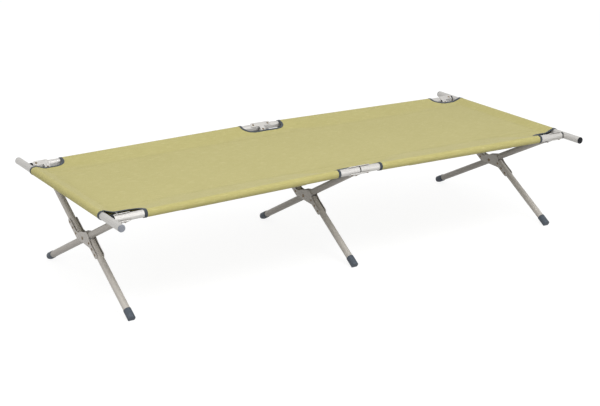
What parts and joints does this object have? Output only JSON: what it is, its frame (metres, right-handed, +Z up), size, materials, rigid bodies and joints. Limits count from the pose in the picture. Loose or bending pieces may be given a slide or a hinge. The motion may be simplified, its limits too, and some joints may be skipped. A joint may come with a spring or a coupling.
{
  "type": "folding cot",
  "caption": "Folding camp bed: taut fabric cover on two jointed side rails, pull-off end bars and crossed leg pairs that close like scissors.",
  "frame": {"origin": "centre of the footprint on the floor", "axes": "+X along the cot towards its right end, +Y across it towards the far side, +Z up"},
  "size_m": [1.9086, 0.862, 0.3823],
  "materials": {
    "rail_tube": "satin",
    "leg_tube": "satin grey",
    "steel_plate": "galvanised",
    "rivet": "bronze toned",
    "foot_rubber": "matt slate",
    "grey_plug": "matt",
    "dark_plug": "matt",
    "cover_fabric": "plain weave",
    "binding_tape": "ribbed tape"
  },
  "bodies": {
    "far_frame": {"far_left_rail": "rail_tube", "far_right_rail": "rail_tube", "left_split_leg_top": "leg_tube", "middle_split_leg_top": "leg_tube", "right_split_leg_top": "leg_tube", "left_split_leg_bottom": "leg_tube", "middle_split_leg_bottom": "leg_tube", "right_split_leg_bottom": "leg_tube", "left_outer_cross_plate": "steel_plate", "left_inner_cross_plate": "steel_plate", "middle_left_cross_plate": "steel_plate", "middle_right_cross_plate": "steel_plate", "right_inner_cross_plate": "steel_plate", "right_outer_cross_plate": "steel_plate", "cross_plate_rivets": "rivet", "crossing_pins": "rivet", "far_left_upper_bracket": "steel_plate", "far_left_lower_bracket": "steel_plate", "far_right_upper_bracket": "steel_plate", "far_right_lower_bracket": "steel_plate", "far_upper_hinge_plate": "steel_plate", "far_lower_hinge_plate": "steel_plate", "far_rail_rivets": "rivet", "far_left_rail_plug": "dark_plug", "far_right_rail_plug": "dark_plug", "near_left_foot": "foot_rubber", "near_middle_foot": "foot_rubber", "near_right_foot": "foot_rubber", "cover": "cover_fabric", "corner_bindings": "binding_tape", "middle_bindings": "binding_tape"},
    "near_frame": {"near_left_rail": "rail_tube", "near_right_rail": "rail_tube", "left_straight_leg": "leg_tube", "middle_straight_leg": "leg_tube", "right_straight_leg": "leg_tube", "near_left_upper_bracket": "steel_plate", "near_left_lower_bracket": "steel_plate", "near_right_upper_bracket": "steel_plate", "near_right_lower_bracket": "steel_plate", "near_upper_hinge_plate": "steel_plate", "near_lower_hinge_plate": "steel_plate", "near_rail_rivets": "rivet", "near_left_rail_plug": "dark_plug", "near_right_rail_plug": "dark_plug", "far_left_foot": "foot_rubber", "far_middle_foot": "foot_rubber", "far_right_foot": "foot_rubber"},
    "left_end_bar": {"left_end_bar": "rail_tube", "left_bar_near_plug": "grey_plug", "left_bar_far_plug": "dark_plug"},
    "right_end_bar": {"right_end_bar": "rail_tube", "right_bar_near_plug": "dark_plug", "right_bar_far_plug": "dark_plug"}
  },
  "joints": [
    {"name": "frame_fold", "type": "hinge", "parent": "far_frame", "child": "near_frame", "pos_m": [0, 0, 0.181], "axis": [-1, 0, 0], "range_deg": [0, 106], "deforming": ["cover", "corner_bindings", "middle_bindings"]},
    {"name": "left_bar_pull", "type": "slide", "parent": "far_frame", "child": "left_end_bar", "axis": [-1, 0, 0], "range_m": [0, 0.06]},
    {"name": "right_bar_pull", "type": "slide", "parent": "far_frame", "child": "right_end_bar", "axis": [1, 0, 0], "range_m": [0, 0.06]}
  ],
  "couplings": [
    {"joint": "left_bar_pull", "follows": "frame_fold", "m_per_rad": 0.0324},
    {"joint": "right_bar_pull", "follows": "frame_fold", "m_per_rad": 0.0324}
  ]
}
